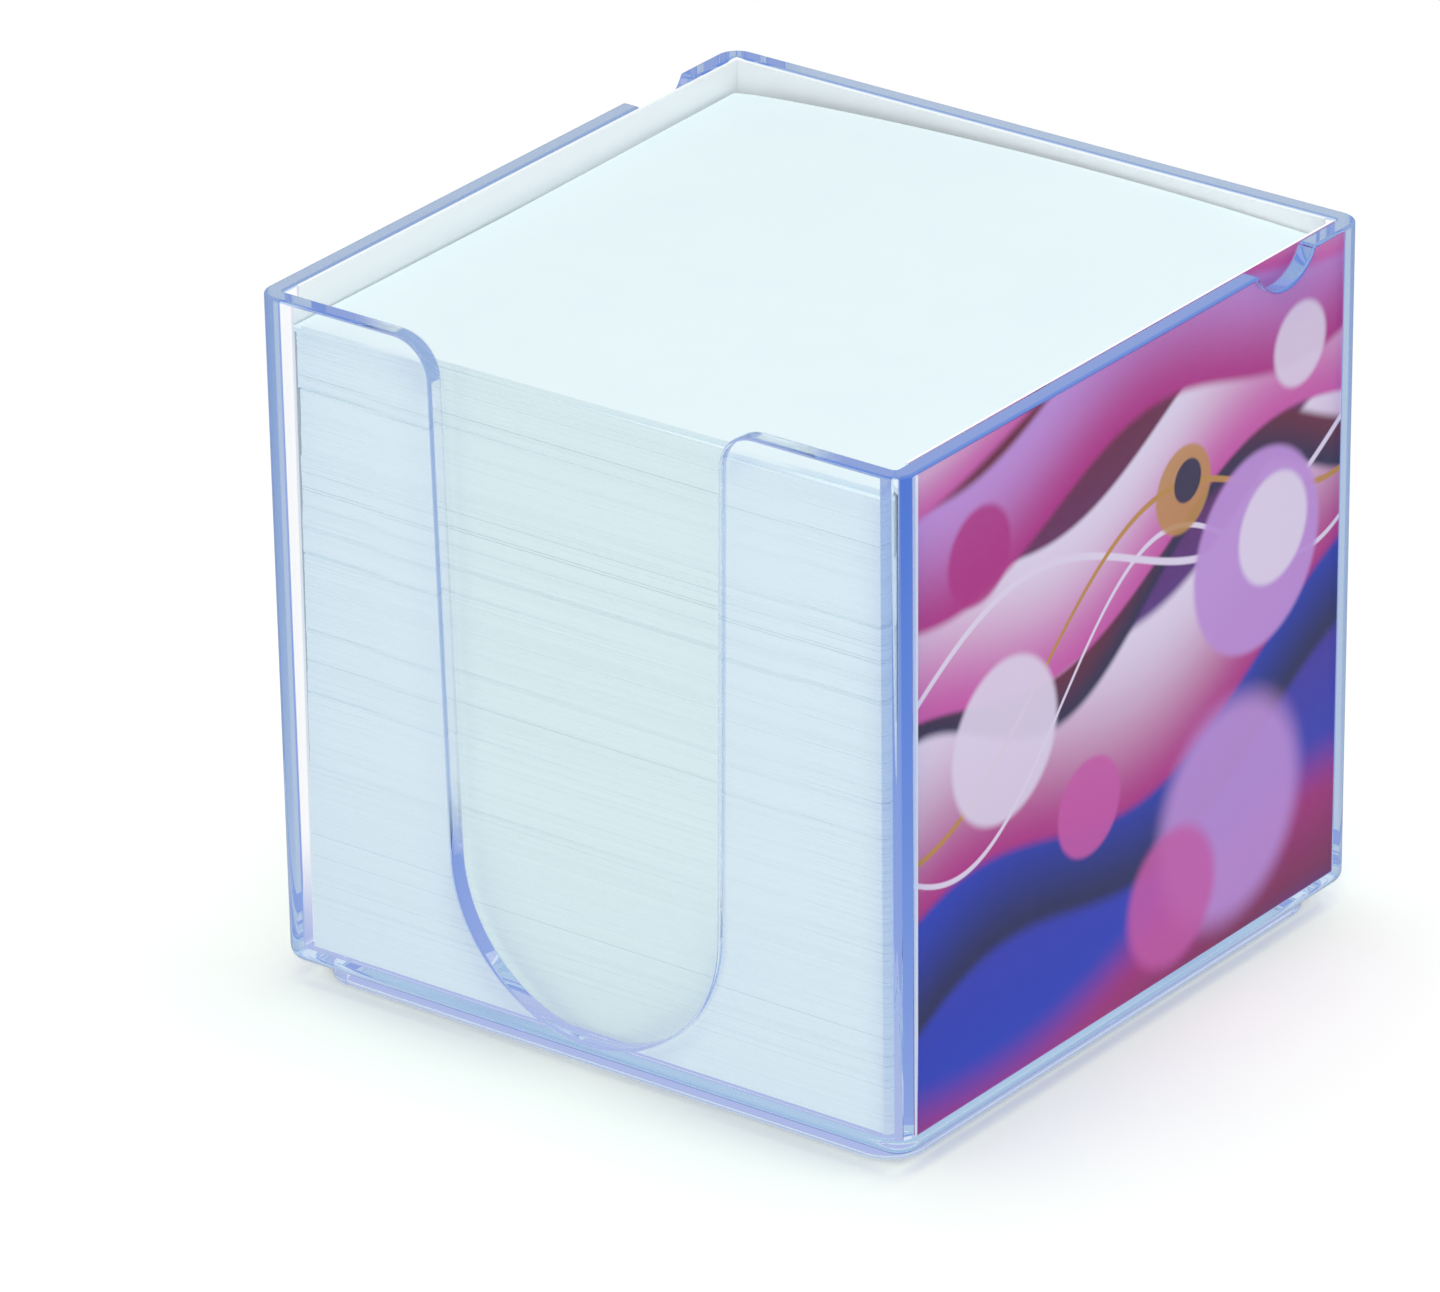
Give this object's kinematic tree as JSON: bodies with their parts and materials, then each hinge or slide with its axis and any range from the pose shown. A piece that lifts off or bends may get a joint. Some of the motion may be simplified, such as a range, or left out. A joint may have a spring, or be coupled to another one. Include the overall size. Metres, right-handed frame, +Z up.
{
  "type": "memo note holder",
  "caption": "Clear box for a stack of square note sheets, with a round-bottomed finger cut-out in front, pen notches in the sides and insert cards along the walls.",
  "frame": {"origin": "on the table under the middle of the box", "axes": "+X to the right across the front, +Y from the cut-out wall to the back wall, +Z up"},
  "size_m": [0.098, 0.098, 0.094],
  "materials": {
    "clear_plastic": "clear polished polystyrene",
    "printed_card": "glossy printed card, white on the inner face",
    "plain_card": "smooth white card",
    "note_paper": "uncoated white writing paper"
  },
  "bodies": {
    "case": {"clear_case": "clear_plastic"},
    "right_card": {"right_card": "printed_card"},
    "left_card": {"left_card": "plain_card"},
    "back_card": {"back_card": "plain_card"},
    "note_lift_1": {"note_lift_1": "note_paper"},
    "note_lift_2": {"note_lift_2": "note_paper"},
    "note_lift_3": {"note_lift_3": "note_paper"},
    "note_lift_4": {"note_lift_4": "note_paper"},
    "note_lift_5": {"note_lift_5": "note_paper"},
    "note_lift_6": {"note_lift_6": "note_paper"},
    "note_lift_7": {"note_lift_7": "note_paper"},
    "note_lift_8": {"note_lift_8": "note_paper"},
    "note_lift_9": {"note_lift_9": "note_paper"},
    "top_note_sheaf": {"top_note_sheaf": "note_paper"}
  },
  "joints": [
    {"name": "right_card_lifts_out", "type": "slide", "parent": "case", "child": "right_card", "axis": [0.0067, 0, 1], "range_m": [0, 0.0914]},
    {"name": "left_card_lifts_out", "type": "slide", "parent": "case", "child": "left_card", "axis": [-0.0067, 0, 1], "range_m": [0, 0.0914]},
    {"name": "back_card_lifts_out", "type": "slide", "parent": "case", "child": "back_card", "axis": [0, 0.0067, 1], "range_m": [0, 0.0914]},
    {"name": "note_lift_1_lifts_out", "type": "slide", "parent": "case", "child": "note_lift_1", "axis": [0, 0, 1], "range_m": [0, 0.0914]},
    {"name": "note_lift_2_lifts_out", "type": "slide", "parent": "note_lift_1", "child": "note_lift_2", "axis": [0, 0, 1], "range_m": [0, 0.0854]},
    {"name": "note_lift_3_lifts_out", "type": "slide", "parent": "note_lift_2", "child": "note_lift_3", "axis": [0, 0, 1], "range_m": [0, 0.0756]},
    {"name": "note_lift_4_lifts_out", "type": "slide", "parent": "note_lift_3", "child": "note_lift_4", "axis": [0, 0, 1], "range_m": [0, 0.0658]},
    {"name": "note_lift_5_lifts_out", "type": "slide", "parent": "note_lift_4", "child": "note_lift_5", "axis": [0, 0, 1], "range_m": [0, 0.056]},
    {"name": "note_lift_6_lifts_out", "type": "slide", "parent": "note_lift_5", "child": "note_lift_6", "axis": [0, 0, 1], "range_m": [0, 0.047]},
    {"name": "note_lift_7_lifts_out", "type": "slide", "parent": "note_lift_6", "child": "note_lift_7", "axis": [0, 0, 1], "range_m": [0, 0.037]},
    {"name": "note_lift_8_lifts_out", "type": "slide", "parent": "note_lift_7", "child": "note_lift_8", "axis": [0, 0, 1], "range_m": [0, 0.0238]},
    {"name": "note_lift_9_lifts_out", "type": "slide", "parent": "note_lift_8", "child": "note_lift_9", "axis": [0, 0, 1], "range_m": [0, 0.0148]},
    {"name": "top_note_sheaf_lifts_out", "type": "slide", "parent": "note_lift_9", "child": "top_note_sheaf", "axis": [0, 0, 1], "range_m": [0, 0.0068]}
  ]
}
